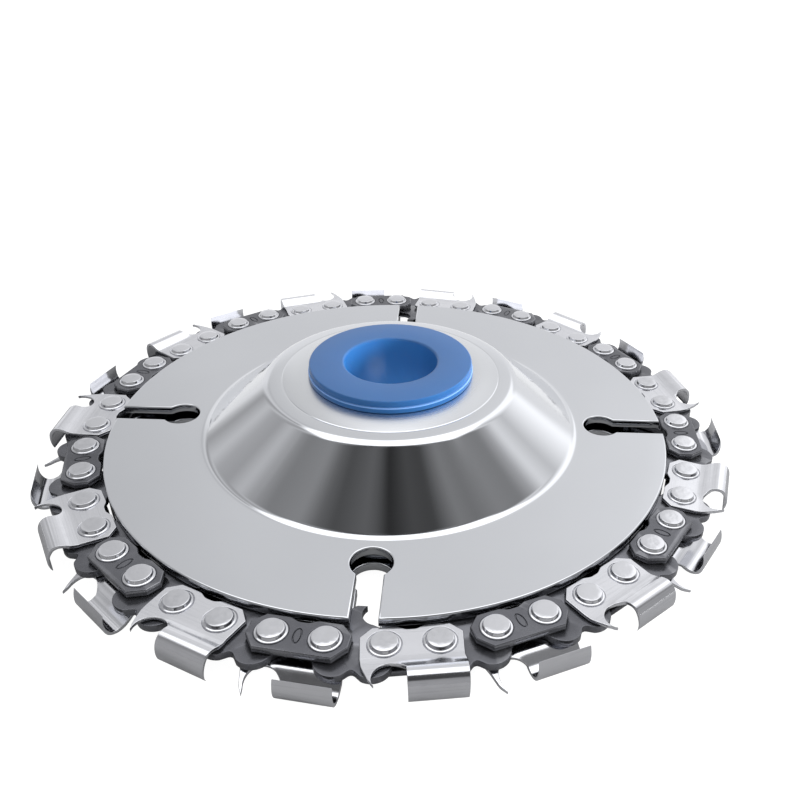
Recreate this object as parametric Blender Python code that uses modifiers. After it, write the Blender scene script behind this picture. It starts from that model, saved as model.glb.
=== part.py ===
# Chain carving disc for an angle grinder, 4 inch.
# A loop of saw chain is held by its drive tangs between two dished steel discs,
# and two nylon bushings keep the discs together and carry the spindle bore.
# Metres, +Z up. The disc's axis is Z, and the lowest rivet heads stand on Z = 0.
import bpy
import bmesh
from math import asin, cos, degrees, hypot, pi, radians, sin, tan
from mathutils import Matrix, Vector

# Chain: 1/4 inch pitch, one rivet every 6.35 mm of the pitch circle
tooth_count = 22
link_angle = 2 * pi / tooth_count
pitch_radius = 0.0445
side_half = 0.0031                      # half the rivet spacing in a strap or cutter
drive_half = pitch_radius * sin(link_angle / 2 - side_half / pitch_radius)
side_row = (pitch_radius**2 - side_half**2) ** 0.5      # radius of a side link's rivet line
drive_row = (pitch_radius**2 - drive_half**2) ** 0.5
first_link = radians(-82.7)             # where the first upper cutter stands

# Heights, counted from the chain's mid plane
mid_height = 0.0020                     # mid plane above the surface it stands on
drive_thick = 0.0010
link_gap = 0.0001                       # running clearance in the chain
strap_thick = 0.0009
cutter_thick = 0.00045
strap_rivet_height = 0.0020             # rivet top over a strap
cutter_rivet_height = 0.0015            # rivet top over a cutter
side_base = drive_thick / 2 + link_gap  # where straps and cutters begin
strap_top = side_base + strap_thick
cutter_top = side_base + cutter_thick

# Rivets
pin_radius = 0.0012
pin_hole_radius = 0.00135
head_radius = 0.00195
head_top_radius = 0.00140

# Discs
plate_thick = 0.0013
plate_half_gap = 0.00065                # the drive tangs run in this gap
disc_radius = 0.0416
hub_height = 0.0105                     # upper disc's hub face over the mid plane
hub_edge = 0.01747                      # where the hub face and the cone would meet
cone_foot = 0.0282                      # where the cone and the plate would meet
disc_gap = 0.0003                       # between the two discs' hubs
disc_hole_radius = 0.0111               # 22.2 mm hole
hub_round = 0.0030
foot_round = 0.0020
rim_round = 0.00015
slot_width = 0.0033
slot_end_radius = 0.00265
slot_end_at = 0.0322

# Bushings
bore_radius = 0.0070                    # clears a 14 mm spindle
flange_radius = 0.01205
flange_thick = 0.0018
flange_groove = 0.00025
spigot_radius = 0.01085
sleeve_radius = 0.0092
seat_gap = 0.0001
collar_gap = 0.00015
sleeve_end = 0.0036                     # height of the bushings' lower end
collar_seat = 0.0003

disc_steps = 60
bushing_steps = 32
rivet_steps = 8


def clear_scene():
    for old in list(bpy.data.objects):
        bpy.data.objects.remove(old, do_unlink=True)


def new_collection(name):
    group = bpy.data.collections.new(name)
    bpy.context.scene.collection.children.link(group)
    return group


def new_material(name, colour, roughness, metallic):
    material = bpy.data.materials.new(name)
    material.use_nodes = True
    shader = material.node_tree.nodes["Principled BSDF"]
    shader.inputs["Base Color"].default_value = (*colour, 1.0)
    shader.inputs["Roughness"].default_value = roughness
    shader.inputs["Metallic"].default_value = metallic
    return material


def evaluated_mesh(thing, name):
    bpy.context.view_layer.update()
    graph = bpy.context.evaluated_depsgraph_get()
    mesh = bpy.data.meshes.new_from_object(thing.evaluated_get(graph))
    mesh.name = name
    return mesh


def round_shade(mesh):
    mesh.shade_smooth()
    mesh.set_sharp_from_angle(angle=radians(35))


def arc(centre, radius, start, end, steps):
    """Points on an arc, angles in degrees, both ends included."""
    points = []
    for i in range(steps + 1):
        angle = radians(start + (end - start) * i / steps)
        points.append((centre[0] + radius * cos(angle), centre[1] + radius * sin(angle)))
    return points


def rounded(corners):
    """Path through (x, y, radius, steps) corners, each turned into a tangent arc."""
    path = []
    count = len(corners)
    for i, (x, y, radius, steps) in enumerate(corners):
        here = Vector((x, y))
        if radius == 0:
            path.append((x, y))
            continue
        before = (Vector(corners[i - 1][:2]) - here).normalized()
        after = (Vector(corners[(i + 1) % count][:2]) - here).normalized()
        opening = before.angle(after)
        reach = radius / tan(opening / 2)
        centre = here + (before + after).normalized() * (radius / sin(opening / 2))
        first = here + before * reach - centre
        last = here + after * reach - centre
        sweep = first.angle_signed(last)
        for step in range(steps + 1):
            turn = Matrix.Rotation(-sweep * step / steps, 2)
            point = centre + turn @ first
            path.append((point.x, point.y))
    return path


def outline_solid(name, outline, bottom, top, group):
    """Closed plate from a flat outline, between two heights."""
    curve = bpy.data.curves.new(name + "_outline", "CURVE")
    curve.dimensions = "2D"
    curve.fill_mode = "BOTH"
    curve.extrude = (top - bottom) / 2
    curve.render_resolution_u = 0
    spline = curve.splines.new("POLY")
    spline.points.add(len(outline) - 1)
    for point, (x, y) in zip(spline.points, outline):
        point.co = (x, y, 0, 1)
    spline.use_cyclic_u = True
    flat = bpy.data.objects.new(name + "_outline", curve)
    group.objects.link(flat)
    mesh = evaluated_mesh(flat, name)
    bpy.data.objects.remove(flat, do_unlink=True)
    shape = bmesh.new()
    shape.from_mesh(mesh)
    bmesh.ops.remove_doubles(shape, verts=shape.verts, dist=1e-7)
    bmesh.ops.translate(shape, verts=shape.verts, vec=(0, 0, (top + bottom) / 2))
    bmesh.ops.recalc_face_normals(shape, faces=shape.faces)
    shape.to_mesh(mesh)
    shape.free()
    solid = bpy.data.objects.new(name, mesh)
    group.objects.link(solid)
    return solid


def turned_solid(name, profile, steps, closed, group):
    """Solid of revolution about Z, the profile running down its outer side."""
    mesh = bpy.data.meshes.new(name)
    edges = [(i, i + 1) for i in range(len(profile) - 1)]
    if closed:
        edges.append((len(profile) - 1, 0))
    mesh.from_pydata([(r, 0, z) for r, z in profile], edges, [])
    solid = bpy.data.objects.new(name, mesh)
    group.objects.link(solid)
    screw = solid.modifiers.new("Turn", "SCREW")
    screw.angle = 2 * pi
    screw.steps = steps
    screw.render_steps = steps
    screw.use_merge_vertices = True
    screw.merge_threshold = 1e-6
    screw.use_smooth_shade = True
    return solid


def add_boolean(solid, other, operation):
    modifier = solid.modifiers.new(operation.title(), "BOOLEAN")
    modifier.operation = operation
    modifier.object = other
    modifier.solver = "EXACT"


def finished(solid, others, name):
    """Mesh of a template with its modifiers applied; the templates are removed."""
    mesh = evaluated_mesh(solid, name)
    for used in [solid, *others]:
        bpy.data.objects.remove(used, do_unlink=True)
    round_shade(mesh)
    return mesh


def round_tool(name, radius, x, y, bottom, top, group, steps):
    bpy.ops.mesh.primitive_cylinder_add(
        vertices=steps, radius=radius, depth=top - bottom, location=(x, y, (top + bottom) / 2)
    )
    tool = bpy.context.object
    tool.name = name
    for owner in list(tool.users_collection):
        owner.objects.unlink(tool)
    group.objects.link(tool)
    return tool


# Discs ---------------------------------------------------------------

def cone_radius(height, inset):
    """Radius of the cone at a height, on a surface that lies inset below the outer one."""
    run = cone_foot - hub_edge
    rise = hub_height - (plate_half_gap + plate_thick)
    slope = run / rise
    shift = inset * hypot(run, rise) / rise
    return hub_edge + (hub_height - height) * slope - shift


def disc_profile(top_inset, plate_top, rounds):
    """Section of one dished disc; rounds are the hub's and the foot's, on top then below."""
    hub_top = hub_height - top_inset
    hub_low = hub_top - plate_thick
    plate_low = plate_top - plate_thick
    low_inset = top_inset + plate_thick
    hub_over, foot_over, foot_under, hub_under = rounds
    return rounded([
        (disc_hole_radius, hub_top, 0, 0),
        (cone_radius(hub_top, top_inset), hub_top, hub_over, 2),
        (cone_radius(plate_top, top_inset), plate_top, foot_over, 2),
        (disc_radius, plate_top, rim_round, 1),
        (disc_radius, plate_low, rim_round, 1),
        (cone_radius(plate_low, low_inset), plate_low, foot_under, 1),
        (cone_radius(hub_low, low_inset), hub_low, hub_under, 1),
        (disc_hole_radius, hub_low, 0, 0),
    ])


def keyhole_outline():
    """Slot open at the rim, with a round end nearer the hub, along +X."""
    half = slot_width / 2
    spread = degrees(asin(half / slot_end_radius))
    outer = disc_radius + 0.002
    end = arc((slot_end_at, 0), slot_end_radius, spread, 360 - spread, 10)
    return [(outer, half), *end, (outer, -half)]


def build_discs(parts, cutters, steel):
    slots = []
    for i in range(4):
        slot = outline_solid(f"slot_{i + 1}", keyhole_outline(), -0.004, 0.004, cutters)
        slot.rotation_euler.z = i * pi / 2
        slot.location.z = mid_height
        slots.append(slot)
    plate_top = plate_half_gap + plate_thick
    upper_rounds = (hub_round, foot_round, foot_round + plate_thick, hub_round - plate_thick)
    lower_rounds = (0.0014, 0.0015, 0.0028, 0.0004)
    upper = turned_solid("upper_disc", disc_profile(0, plate_top, upper_rounds), disc_steps, True, parts)
    lower_inset = plate_thick + disc_gap
    lower = turned_solid(
        "lower_disc", disc_profile(lower_inset, -plate_half_gap, lower_rounds), disc_steps, True, parts
    )
    for disc in (upper, lower):
        disc.location.z = mid_height
        disc.data.materials.append(steel)
        for slot in slots:
            add_boolean(disc, slot, "DIFFERENCE")


# Bushings ------------------------------------------------------------

def flange_edge(top, bottom):
    """Flange side with a shallow V groove, from top to bottom."""
    groove_at = bottom + (top - bottom) * 0.45
    edge = 0.00015
    return [
        (flange_radius - edge, top),
        (flange_radius, top - edge),
        (flange_radius, groove_at + flange_groove),
        (flange_radius - flange_groove, groove_at),
        (flange_radius, groove_at - flange_groove),
        (flange_radius, bottom + edge),
        (flange_radius - edge, bottom),
    ]


def build_bushings(parts, nylon):
    flange_low = hub_height + seat_gap
    flange_top = flange_low + flange_thick
    lower_face = hub_height - 2 * plate_thick - disc_gap
    lip = 0.0002
    upper_profile = [
        (bore_radius, flange_top - lip),
        (bore_radius + lip, flange_top),
        *flange_edge(flange_top, flange_low),
        (spigot_radius, flange_low),
        (spigot_radius, lower_face),
        (sleeve_radius, lower_face),
        (sleeve_radius, sleeve_end),
        (bore_radius, sleeve_end),
    ]
    collar_top = lower_face - collar_seat
    collar_profile = [
        (sleeve_radius + collar_gap, collar_top),
        *flange_edge(collar_top, sleeve_end),
        (sleeve_radius + collar_gap, sleeve_end),
    ]
    for name, profile in (("bushing_upper", upper_profile), ("bushing_lower", collar_profile)):
        bushing = turned_solid(name, profile, bushing_steps, True, parts)
        bushing.location.z = mid_height
        bushing.data.materials.append(nylon)


# Chain ---------------------------------------------------------------
# Each template is modelled around its own middle: x along the chain, anticlockwise
# from above, and y outward from its rivet line.

def strap_outline():
    """Long octagon with a shallow notch in the middle of its inner side."""
    half_length = 0.0058
    half_width = 0.0025
    cut = 0.0014
    notch = [(0.0011, -half_width), (0.0005, -0.0020), (-0.0005, -0.0020), (-0.0011, -half_width)]
    return [
        (-half_length + cut, -half_width),
        (-half_length, -half_width + cut),
        (-half_length, half_width - 0.0018),
        (-half_length + cut, half_width),
        (half_length - cut, half_width),
        (half_length, half_width - 0.0018),
        (half_length, -half_width + cut),
        (half_length - cut, -half_width),
        *notch,
    ]


def cutter_outline():
    """Flat of a cutter: clipped corners, notched inner side and the depth gauge horn."""
    return [
        (-0.0044, -0.0025),
        (-0.0058, -0.0012),
        (-0.0059, 0.0021),
        (-0.0053, 0.0038),
        (-0.0047, 0.0058),
        (-0.0042, 0.0044),
        (-0.0036, 0.0032),
        (-0.0010, 0.0030),
        (0.0057, 0.0030),
        (0.0058, -0.0012),
        (0.0044, -0.0025),
        (0.0011, -0.0025),
        (0.0005, -0.0020),
        (-0.0005, -0.0020),
        (-0.0011, -0.0025),
    ]


def tooth_profile():
    """Section of the rolled tooth, outward against height over the mid plane."""
    roll_centre = (0.0046, 0.00035)
    roll_radius = 0.00155
    outer = arc(roll_centre, roll_radius, 105, -5, 4)
    inner = arc(roll_centre, roll_radius - cutter_thick, 0, 105, 3)
    return [
        (0.0027, side_base),
        (0.0026, cutter_top),
        *outer,
        (0.00600, -0.00100),
        (0.00585, -0.00165),
        (0.00572, -0.00080),
        *inner,
    ]


def drive_outline():
    """Two outer lobes, round ends at the rivets and a hooked tang inward."""
    end = drive_half
    lobe_left = arc((-0.0021, 0.0021), 0.00225, 70, 175, 3)
    lobe_right = arc((0.0021, 0.0021), 0.00225, 5, 110, 3)
    end_left = arc((-end, 0), 0.0024, 180, 240, 2)
    end_right = arc((end, 0), 0.0024, -60, 0, 2)
    tang = [
        (-0.0030, -0.0034),
        (-0.0011, -0.0058),
        (0.0004, -0.0063),
        (0.0003, -0.0054),
        (0.0007, -0.0043),
        (0.0021, -0.0032),
    ]
    return [*lobe_left, *end_left, *tang, *end_right, *lobe_right, (0, 0.0031)]


def rivet_profile(upper_top, upper_seat, lower_seat, lower_top):
    """Headed pin, from its upper head's crown to its lower head's crown."""
    return [
        (0, upper_top),
        (head_top_radius, upper_top),
        (head_radius, upper_seat),
        (pin_radius, upper_seat),
        (pin_radius, lower_seat),
        (head_radius, lower_seat),
        (head_top_radius, lower_top),
        (0, lower_top),
    ]


def add_rivets(link, upper_top, upper_seat, lower_seat, lower_top, group):
    profile = rivet_profile(upper_top, upper_seat, lower_seat, lower_top)
    rivets = []
    for side in (-1, 1):
        rivet = turned_solid("rivet", profile, rivet_steps, False, group)
        rivet.location.x = side * side_half
        add_boolean(link, rivet, "UNION")
        rivets.append(rivet)
    return rivets


def cutter_solid(name, group):
    """Upper cutter as a live solid: plate, rolled tooth, gullet."""
    plate = outline_solid(name, cutter_outline(), side_base, cutter_top, group)
    tooth = outline_solid(name + "_tooth", tooth_profile(), -0.0010, 0.0057, group)
    # The profile lies in (outward, height): stand it up and run it along the chain.
    tooth.data.transform(Matrix(((0, 0, 1, 0), (1, 0, 0, 0), (0, 1, 0, 0), (0, 0, 0, 1))))
    gullet = round_tool(name + "_gullet", 0.00195, -0.00235, 0.00465, -0.003, 0.003, group, 12)
    add_boolean(plate, tooth, "UNION")
    add_boolean(plate, gullet, "DIFFERENCE")
    return plate, [tooth, gullet]


def upper_cutter_mesh(group):
    cutter, others = cutter_solid("cutter_upper", group)
    for side in (-1, 1):
        hole = round_tool("hole", pin_hole_radius, side * side_half, 0, -0.003, 0.003, group, rivet_steps)
        add_boolean(cutter, hole, "DIFFERENCE")
        others.append(hole)
    return finished(cutter, others, "cutter_upper")


def preset_strap_mesh(group):
    """Lower strap with its two rivets, which stand up through the upper cutter."""
    strap = outline_solid("preset_strap", strap_outline(), -strap_top, -side_base, group)
    head_seat = cutter_top + link_gap
    rivets = add_rivets(
        strap, cutter_rivet_height, head_seat, -strap_top + 0.0002, -strap_rivet_height, group
    )
    return finished(strap, rivets, "preset_strap")


def riveted_link_mesh(group):
    """Upper strap, two rivets and the lower cutter, riveted into one rigid link."""
    strap = outline_solid("strap", strap_outline(), side_base, strap_top, group)
    cutter, others = cutter_solid("cutter_lower", group)
    lower = bpy.data.objects.new("lower", evaluated_mesh(cutter, "lower"))
    group.objects.link(lower)
    for used in [cutter, *others]:
        bpy.data.objects.remove(used, do_unlink=True)
    lower.data.transform(Matrix.Scale(-1, 4, (0, 0, 1)))
    lower.data.flip_normals()
    add_boolean(strap, lower, "UNION")
    rivets = add_rivets(
        strap,
        strap_rivet_height,
        strap_top - 0.0002,
        -cutter_top + 0.0002,
        -cutter_rivet_height,
        group,
    )
    return finished(strap, [lower, *rivets], "riveted_link")


def drive_link_mesh(group):
    link = outline_solid("drive_link", drive_outline(), -drive_thick / 2, drive_thick / 2, group)
    holes = []
    for side in (-1, 1):
        hole = round_tool("hole", pin_hole_radius, side * drive_half, 0, -0.003, 0.003, group, rivet_steps)
        add_boolean(link, hole, "DIFFERENCE")
        holes.append(hole)
    return finished(link, holes, "drive_link")


def place_links(name, mesh, material, row_radius, first, step, count, axis, parts):
    """Copies of one link mesh around the axis, each with its origin on the axis."""
    # At angle 0 chain x lies along +Y and chain y along +X, a mirrored pair, so faces are flipped.
    stand = Matrix(((0, 1, 0, row_radius), (1, 0, 0, 0), (0, 0, 1, 0), (0, 0, 0, 1)))
    mesh.transform(stand)
    mesh.flip_normals()
    mesh.materials.clear()
    mesh.materials.append(material)
    for i in range(count):
        link = bpy.data.objects.new(f"{name}_{i + 1:02d}", mesh)
        parts.objects.link(link)
        link.parent = axis
        link.rotation_euler.z = first + i * step


def build_chain(parts, cutters, bright, dark):
    axis = bpy.data.objects.new("chain_axis", None)
    axis.location.z = mid_height
    axis.empty_display_size = 0.01
    parts.objects.link(axis)
    pair = 2 * link_angle
    half_count = tooth_count // 2
    second_link = first_link + link_angle
    first_drive = first_link + link_angle / 2
    place_links("drive_link", drive_link_mesh(cutters), dark, drive_row, first_drive, link_angle,
                tooth_count, axis, parts)
    place_links("cutter_upper", upper_cutter_mesh(cutters), bright, side_row, first_link, pair,
                half_count, axis, parts)
    place_links("preset_strap", preset_strap_mesh(cutters), dark, side_row, first_link, pair,
                half_count, axis, parts)
    place_links("riveted_link", riveted_link_mesh(cutters), dark, side_row, second_link, pair,
                half_count, axis, parts)


def main():
    clear_scene()
    parts = new_collection("chain_carving_disc")
    cutters = new_collection("cutters")
    steel = new_material("polished_steel", (0.56, 0.57, 0.59), 0.22, 1.0)
    bright = new_material("nickel_plated_steel", (0.66, 0.67, 0.69), 0.20, 1.0)
    dark = new_material("black_oxide_steel", (0.13, 0.13, 0.135), 0.45, 0.8)
    nylon = new_material("blue_nylon", (0.09, 0.22, 0.52), 0.45, 0.0)
    build_discs(parts, cutters, steel)
    build_bushings(parts, nylon)
    build_chain(parts, cutters, bright, dark)
    for tool in cutters.objects:
        tool.hide_render = True
        tool.display_type = "WIRE"


main()
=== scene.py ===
from math import asin, cos, degrees, hypot, pi, radians, sin, sqrt, tan

import bmesh
import bpy
from mathutils import Matrix, Vector


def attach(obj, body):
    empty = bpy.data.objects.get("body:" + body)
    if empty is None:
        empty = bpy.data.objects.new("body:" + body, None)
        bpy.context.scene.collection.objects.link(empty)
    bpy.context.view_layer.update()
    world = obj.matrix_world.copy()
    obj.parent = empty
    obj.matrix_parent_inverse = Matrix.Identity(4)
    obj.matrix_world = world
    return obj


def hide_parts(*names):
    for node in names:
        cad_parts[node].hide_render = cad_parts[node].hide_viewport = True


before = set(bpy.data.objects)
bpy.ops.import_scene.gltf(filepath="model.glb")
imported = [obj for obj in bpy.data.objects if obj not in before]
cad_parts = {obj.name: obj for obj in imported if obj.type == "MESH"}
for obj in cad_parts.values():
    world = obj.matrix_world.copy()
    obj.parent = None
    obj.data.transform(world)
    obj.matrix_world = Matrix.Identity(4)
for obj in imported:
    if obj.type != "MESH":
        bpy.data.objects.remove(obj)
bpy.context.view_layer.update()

# Chain carving disc for an angle grinder. Shapes are worked out in millimetres around the
# chain's mid plane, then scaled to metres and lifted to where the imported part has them.
mm = 0.001
midHeight = 2.0
turnedSharp = 40               # degrees, edges steeper than this stay sharp
pressedSharp = 50


def linearColour(hexText):
    channels = [int(hexText[i:i + 2], 16) / 255 for i in (1, 3, 5)]
    linear = [c / 12.92 if c <= 0.04045 else ((c + 0.055) / 1.055) ** 2.4 for c in channels]
    return (*linear, 1.0)


def addNode(tree, kind, inputs=None, **settings):
    node = tree.nodes.new(kind)
    for name, value in settings.items():
        setattr(node, name, value)
    for key, value in (inputs or {}).items():
        if isinstance(value, bpy.types.NodeSocket):
            tree.links.new(value, node.inputs[key])
        else:
            node.inputs[key].default_value = value
    return node


def calculate(tree, operation, *values):
    return addNode(tree, "ShaderNodeMath", dict(enumerate(values)), operation=operation).outputs[0]


def setRamp(ramp, stops):
    elements = ramp.color_ramp.elements
    while len(elements) > 1:
        elements.remove(elements[-1])
    elements[0].position = stops[0][0]
    elements[0].color = stops[0][1]
    for position, colour in stops[1:]:
        elements.new(position).color = colour


def arcPoints(centre, radius, first, last, steps):
    points = []
    for i in range(steps + 1):
        angle = radians(first + (last - first) * i / steps)
        points.append((centre[0] + radius * cos(angle), centre[1] + radius * sin(angle)))
    return points


def roundedPath(corners, closed=True):
    # corners are (x, y, radius, steps)
    path = []
    count = len(corners)
    for i, (x, y, radius, steps) in enumerate(corners):
        here = Vector((x, y))
        if radius == 0 or (not closed and i in (0, count - 1)):
            path.append((x, y))
            continue
        before = (Vector(corners[i - 1][:2]) - here).normalized()
        after = (Vector(corners[(i + 1) % count][:2]) - here).normalized()
        opening = before.angle(after)
        reach = radius / tan(opening / 2)
        centre = here + (before + after).normalized() * (radius / sin(opening / 2))
        first = here + before * reach - centre
        last = here + after * reach - centre
        sweep = first.angle_signed(last)
        for step in range(steps + 1):
            point = centre + Matrix.Rotation(-sweep * step / steps, 2) @ first
            path.append((point.x, point.y))
    return path


def insetLoop(loop, amount):
    # moves every point along its mitre, to the left of the way the loop runs
    moved = []
    count = len(loop)
    for i in range(count):
        here = Vector(loop[i])
        a = (here - Vector(loop[i - 1])).normalized()
        b = (Vector(loop[(i + 1) % count]) - here).normalized()
        mitre = Vector((-a.y - b.y, a.x + b.x)) / max(0.2, 1 + a.dot(b))
        if mitre.length > 2.2:
            mitre = mitre.normalized() * 2.2
        moved.append(tuple(here + mitre * amount))
    return moved


def edgeRings(low, high, lowRound, topRound, steps, support=0.03):
    # (inset, height) up a plate's side; the outermost rings keep the flats' shading flat
    rings = [(lowRound + support, low)]
    for i in range(steps + 1):
        angle = pi / 2 * i / steps
        rings.append((lowRound * (1 - sin(angle)), low + lowRound * (1 - cos(angle))))
    for i in range(steps + 1):
        angle = pi / 2 * i / steps
        rings.append((topRound * (1 - cos(angle)), high - topRound * (1 - sin(angle))))
    rings.append((topRound + support, high))
    return rings


def addWall(shape, loop, rings):
    # a band of faces through the rings; gives back the first and the last ring's edges
    rows = []
    for inset, height in rings:
        rows.append([shape.verts.new((x, y, height)) for x, y in insetLoop(loop, inset)])
    for lower, upper in zip(rows, rows[1:]):
        for i in range(len(loop)):
            shape.faces.new((lower[i - 1], lower[i], upper[i], upper[i - 1]))
    ends = []
    for row in (rows[0], rows[-1]):
        ends.append([shape.edges.get((row[i - 1], row[i])) for i in range(len(loop))])
    return ends


def fillFlat(shape, edges):
    bmesh.ops.triangle_fill(shape, use_beauty=True, use_dissolve=False, edges=edges)


def makePlate(outline, rings, holes=(), marks=()):
    # holes run from the low face to the high one; a mark is a groove around an island on top
    shape = bmesh.new()
    lowEdges, highEdges = addWall(shape, outline, rings)
    for loop, holeRings in holes:
        lowHole, highHole = addWall(shape, loop, holeRings)
        lowEdges += lowHole
        highEdges += highHole
    for loop, markRings in marks:
        around, island = addWall(shape, loop, markRings)
        highEdges += around
        fillFlat(shape, island)
    fillFlat(shape, lowEdges)
    fillFlat(shape, highEdges)
    return shape


def addObject(name, mesh):
    piece = bpy.data.objects.new(name, mesh)
    bpy.context.scene.collection.objects.link(piece)
    return piece


def lineObject(name, profile):
    mesh = bpy.data.meshes.new(name)
    edges = [(i, i + 1) for i in range(len(profile) - 1)]
    mesh.from_pydata([(r, 0, z) for r, z in profile], edges, [])
    return addObject(name, mesh)


def addTree(piece, tree, values):
    modifier = piece.modifiers.new(tree.name, "NODES")
    modifier.node_group = tree
    for item in tree.interface.items_tree:
        if item.item_type == "SOCKET" and item.in_out == "INPUT" and item.name in values:
            modifier[item.identifier] = values[item.name]


def applyTree(piece):
    bpy.context.view_layer.update()
    view = bpy.context.evaluated_depsgraph_get()
    old = piece.data
    piece.data = bpy.data.meshes.new_from_object(piece.evaluated_get(view), depsgraph=view)
    piece.modifiers.clear()
    bpy.data.meshes.remove(old)
    piece.data.name = piece.name


def cleanMesh(mesh, sharpAngle):
    shape = bmesh.new()
    shape.from_mesh(mesh)
    bmesh.ops.recalc_face_normals(shape, faces=shape.faces)
    shape.to_mesh(mesh)
    shape.free()
    mesh.shade_smooth()
    mesh.set_sharp_from_angle(angle=radians(sharpAngle))


def newTree(name, inputs):
    tree = bpy.data.node_groups.new(name, "GeometryNodeTree")
    for title, kind in inputs.items():
        tree.interface.new_socket(title, in_out="INPUT", socket_type="NodeSocket" + kind)
    tree.interface.new_socket("Geometry", in_out="OUTPUT", socket_type="NodeSocketGeometry")
    return tree, addNode(tree, "NodeGroupInput").outputs


def endTree(tree, geometry, finish):
    real = addNode(tree, "GeometryNodeRealizeInstances", {"Geometry": geometry})
    painted = addNode(tree, "GeometryNodeSetMaterial", {
        "Geometry": real.outputs[0], "Material": finish,
    })
    addNode(tree, "NodeGroupOutput", {"Geometry": painted.outputs[0]})


def makeTurnTree():
    # spins the profile line it is put on around Z
    tree, start = newTree("turnedShape", {"Profile": "Geometry", "Steps": "Int", "Finish": "Material"})
    size = addNode(tree, "GeometryNodeAttributeDomainSize", {"Geometry": start["Profile"]})
    rows = size.outputs["Point Count"]
    columns = calculate(tree, "ADD", start["Steps"], 1.0)
    grid = addNode(tree, "GeometryNodeMeshGrid", {
        "Size X": 1.0, "Size Y": 1.0, "Vertices X": columns, "Vertices Y": rows,
    })
    here = addNode(tree, "GeometryNodeInputPosition")
    place = addNode(tree, "ShaderNodeSeparateXYZ", {0: here.outputs[0]}).outputs
    turn = calculate(tree, "MULTIPLY_ADD", place["X"], 2 * pi, pi)
    lastRow = calculate(tree, "SUBTRACT", rows, 1.0)
    share = calculate(tree, "ADD", place["Y"], 0.5)
    row = calculate(tree, "ROUND", calculate(tree, "MULTIPLY", share, lastRow))
    sample = addNode(tree, "GeometryNodeSampleIndex", {
        "Geometry": start["Profile"], "Index": row,
    }, data_type="FLOAT_VECTOR")
    tree.links.new(here.outputs[0], sample.inputs["Value"])
    point = addNode(tree, "ShaderNodeSeparateXYZ", {0: sample.outputs["Value"]}).outputs
    spun = addNode(tree, "ShaderNodeCombineXYZ", {
        "X": calculate(tree, "MULTIPLY", point["X"], calculate(tree, "COSINE", turn)),
        "Y": calculate(tree, "MULTIPLY", point["X"], calculate(tree, "SINE", turn)),
        "Z": point["Z"],
    })
    moved = addNode(tree, "GeometryNodeSetPosition", {
        "Geometry": grid.outputs["Mesh"], "Position": spun.outputs[0],
    })
    closed = addNode(tree, "GeometryNodeMergeByDistance", {
        "Geometry": moved.outputs[0], "Distance": 0.0005,
    })
    endTree(tree, closed.outputs[0], start["Finish"])
    return tree


def makeRingTree():
    # copies one link around the axis, each with a shade of its own
    tree, start = newTree("chainRing", {
        "Link": "Geometry",
        "Count": "Int",
        "First Angle": "Float",
        "Step Angle": "Float",
        "Seed": "Int",
        "Finish": "Material",
    })
    points = addNode(tree, "GeometryNodePoints", {"Count": start["Count"]})
    number = addNode(tree, "GeometryNodeInputIndex").outputs[0]
    angle = calculate(tree, "MULTIPLY_ADD", number, start["Step Angle"], start["First Angle"])
    turn = addNode(tree, "ShaderNodeCombineXYZ", {"Z": angle})
    copies = addNode(tree, "GeometryNodeInstanceOnPoints", {
        "Points": points.outputs[0],
        "Instance": start["Link"],
        "Rotation": turn.outputs[0],
    })
    chance = addNode(tree, "FunctionNodeRandomValue", {"Seed": start["Seed"]}, data_type="FLOAT")
    shade = addNode(tree, "GeometryNodeStoreNamedAttribute", {
        "Geometry": copies.outputs[0], "Name": "linkShade",
    }, data_type="FLOAT", domain="INSTANCE")
    shadeValue = [s for s in chance.outputs if s.enabled][0]
    tree.links.new(shadeValue, [s for s in shade.inputs if s.name == "Value" and s.enabled][0])
    endTree(tree, shade.outputs[0], start["Finish"])
    return tree


def newMaterial(name):
    material = bpy.data.materials.new(name)
    material.use_nodes = True
    tree = material.node_tree
    tree.nodes.clear()
    shader = addNode(tree, "ShaderNodeBsdfPrincipled")
    addNode(tree, "ShaderNodeOutputMaterial", {"Surface": shader.outputs[0]})
    return material, tree, shader.inputs


def linkFinish(tree, shader, metallic, colour, roughness, bump):
    shader["Metallic"].default_value = metallic
    tree.links.new(colour, shader["Base Color"])
    tree.links.new(roughness, shader["Roughness"])
    tree.links.new(bump, shader["Normal"])


def mixColours(tree, factor, first, second):
    # first and second are sockets, colours or hex texts
    mix = addNode(tree, "ShaderNodeMix", data_type="RGBA")
    colourSockets = [s for s in mix.inputs if s.type == "RGBA"]
    for socket, value in ((mix.inputs[0], factor), (colourSockets[0], first), (colourSockets[1], second)):
        if isinstance(value, bpy.types.NodeSocket):
            tree.links.new(value, socket)
        elif isinstance(value, str):
            socket.default_value = linearColour(value)
        else:
            socket.default_value = value
    return [s for s in mix.outputs if s.type == "RGBA"][0]


def mapRange(tree, value, start, end, low=0.0, high=1.0):
    return addNode(tree, "ShaderNodeMapRange", {
        "Value": value, "From Min": start, "From Max": end, "To Min": low, "To Max": high,
    }).outputs[0]


def makeMask(tree, value, start, full):
    mask = addNode(tree, "ShaderNodeMapRange", {
        "Value": value, "From Min": start, "From Max": full,
    }, interpolation_type="SMOOTHSTEP")
    return mask.outputs[0]


def multiplied(tree, *values):
    product = values[0]
    for value in values[1:]:
        product = calculate(tree, "MULTIPLY", product, value)
    return product


def addNoise(tree, place, size, detail, roughness=0.5):
    # size in mm
    noise = addNode(tree, "ShaderNodeTexNoise", {
        "Vector": place, "Scale": 1 / (size * mm), "Detail": detail, "Roughness": roughness,
    })
    return noise.outputs["Fac"]


def addBump(tree, height, strength, depth):
    # depth in mm
    bump = addNode(tree, "ShaderNodeBump", {
        "Strength": strength, "Distance": depth * mm, "Height": height,
    })
    return bump.outputs[0]


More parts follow.
